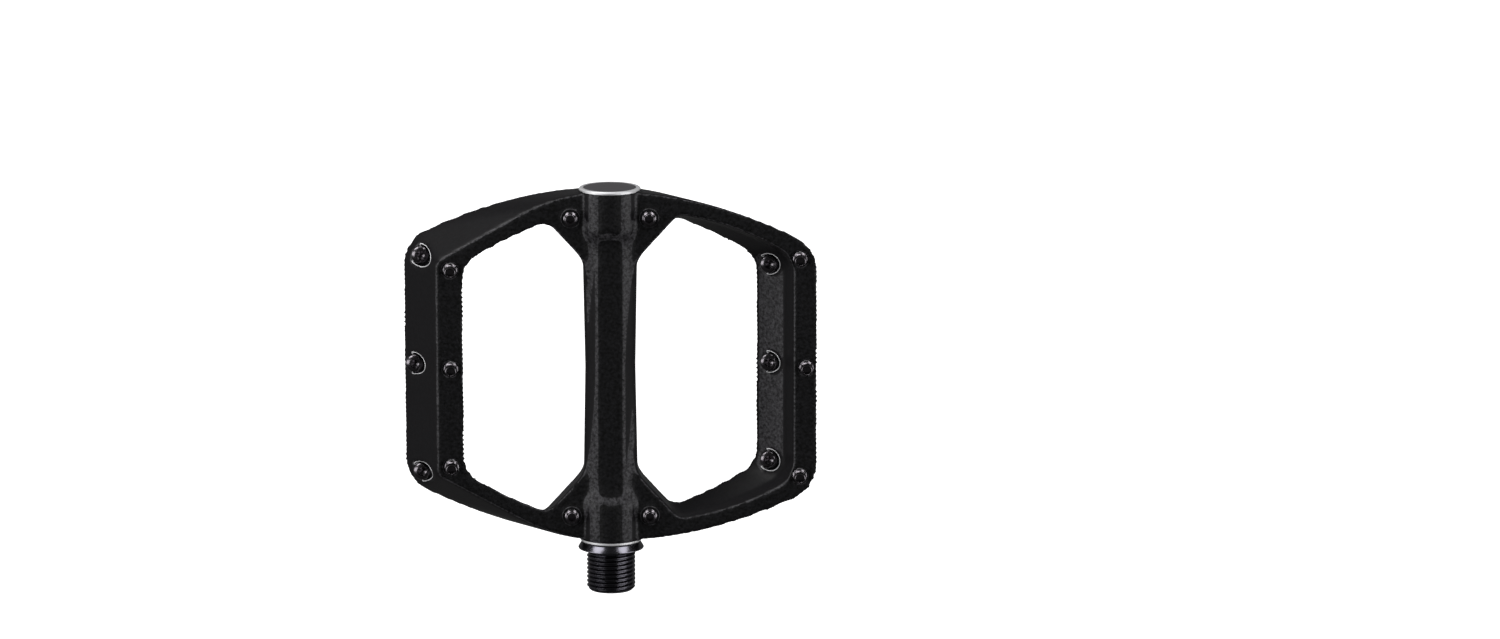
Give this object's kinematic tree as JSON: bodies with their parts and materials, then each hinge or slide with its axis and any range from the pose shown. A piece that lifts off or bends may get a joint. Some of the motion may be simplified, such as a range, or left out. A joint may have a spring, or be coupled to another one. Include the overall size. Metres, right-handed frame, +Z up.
{
  "type": "flat bicycle pedal",
  "caption": "Thin forged platform pedal for the left crank arm, with leaning rails, open windows, screw-in grip pins and a sealed spinning axle.",
  "frame": {"origin": "on the axle's centre line, in the plane of the flange face that seats on the crank arm", "axes": "+X to the leading edge, +Y along the axle to the outboard end, +Z up out of the platform"},
  "size_m": [0.1208, 0.1201, 0.021],
  "materials": {
    "body_black": "grainy black coat over blasted, forged aluminium",
    "machined_bright": "bright machined",
    "pin_black": "black oxide",
    "spindle_steel": "polished gunmetal",
    "seal_rubber": "matt",
    "bush_bronze": "sintered",
    "bearing_steel": "ground",
    "cage_brass": "satin",
    "fastener_steel": "zinc plated",
    "cap_grey": "smooth satin"
  },
  "bodies": {
    "spindle": {"spindle": "spindle_steel", "bearing_inner_race": "bearing_steel", "lock_washer": "fastener_steel", "lock_nut": "fastener_steel"},
    "platform": {"platform_body": "body_black", "outer_row_pins_front": "pin_black", "outer_row_pins_back": "pin_black", "inner_row_pins_front": "pin_black", "inner_row_pins_back": "pin_black", "hub_pins_front": "pin_black", "hub_pins_back": "pin_black", "inboard_lip_seal": "seal_rubber", "inboard_bush": "bush_bronze", "bearing_outer_race": "bearing_steel", "bearing_shield_inboard": "bearing_steel", "bearing_shield_outboard": "bearing_steel", "bearing_circlip": "fastener_steel", "end_cap": "cap_grey", "end_cap_o_ring": "seal_rubber"},
    "bearing_cage": {"bearing_cage": "cage_brass", "bearing_balls": "bearing_steel"}
  },
  "joints": [
    {"name": "platform_spin", "type": "hinge", "parent": "spindle", "child": "platform", "pos_m": [0, 0.0548, 0], "axis": [0, 1, 0], "continuous": true},
    {"name": "cage_roll", "type": "hinge", "parent": "spindle", "child": "bearing_cage", "pos_m": [0, 0.095, 0], "axis": [0, 1, 0], "continuous": true}
  ],
  "couplings": [
    {"joint": "cage_roll", "follows": "platform_spin", "ratio": 0.6263}
  ]
}
